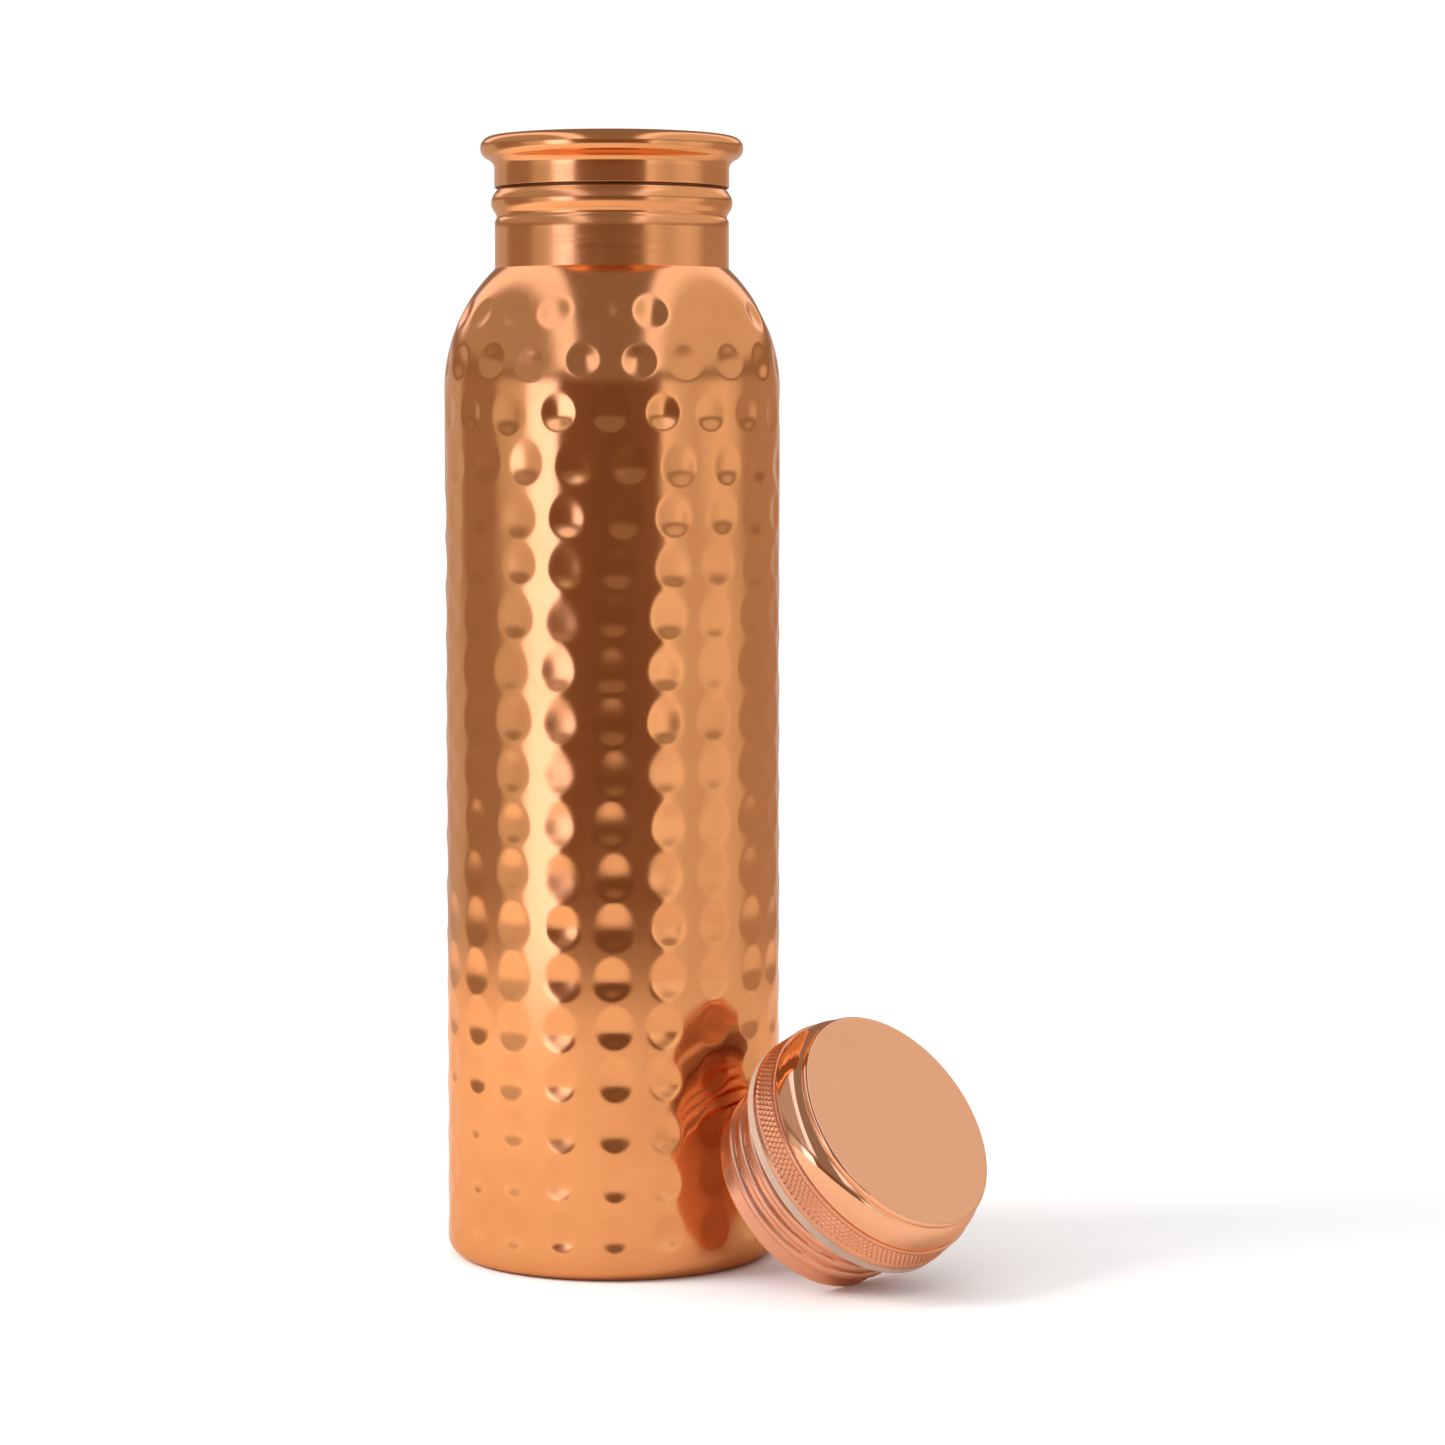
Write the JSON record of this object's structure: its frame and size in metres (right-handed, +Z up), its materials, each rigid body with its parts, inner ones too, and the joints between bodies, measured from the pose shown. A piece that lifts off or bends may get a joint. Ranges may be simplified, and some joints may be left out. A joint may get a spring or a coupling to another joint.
{
  "type": "water bottle",
  "caption": "Hammered metal water bottle with a ball-shaped shoulder, a smooth beaded neck and a round flared lip; its threaded screw cap lies tipped against the wall.",
  "frame": {"origin": "centre of the standing ring, on the bottle's own axis at floor level", "axes": "+Z up the bottle's axis towards the mouth; -Y faces the viewer; the loose cap lies towards +X and -Y"},
  "size_m": [0.1173, 0.1052, 0.2474],
  "materials": {
    "hammered_copper": "polished, hammered",
    "plain_copper": "satin",
    "brushed_copper": "fine brushed",
    "polished_copper": "polished",
    "mirror_copper": "mirror polished",
    "knurled_copper": "fine diamond knurl",
    "satin_copper": "satin",
    "silicone": "translucent greyish beige silicone"
  },
  "bodies": {
    "bottle": {"body_shell": "hammered_copper", "base_pan": "plain_copper", "neck_tube": "brushed_copper", "mouth_ring": "polished_copper", "thread_sleeve": "plain_copper"},
    "gasket": {"cap_gasket": "silicone"},
    "cap": {"cap_cover": "mirror_copper", "knurled_ring": "knurled_copper", "cap_plug": "satin_copper"}
  },
  "joints": [
    {"name": "cap_lift", "type": "slide", "parent": "bottle", "child": "gasket", "axis": [0, 0, 1], "range_m": [0, 0.25]},
    {"name": "cap_turn", "type": "hinge", "parent": "gasket", "child": "cap", "pos_m": [0.04106, -0.02983, 0.01873], "axis": [0.605, -0.5447, 0.5807], "continuous": true}
  ]
}
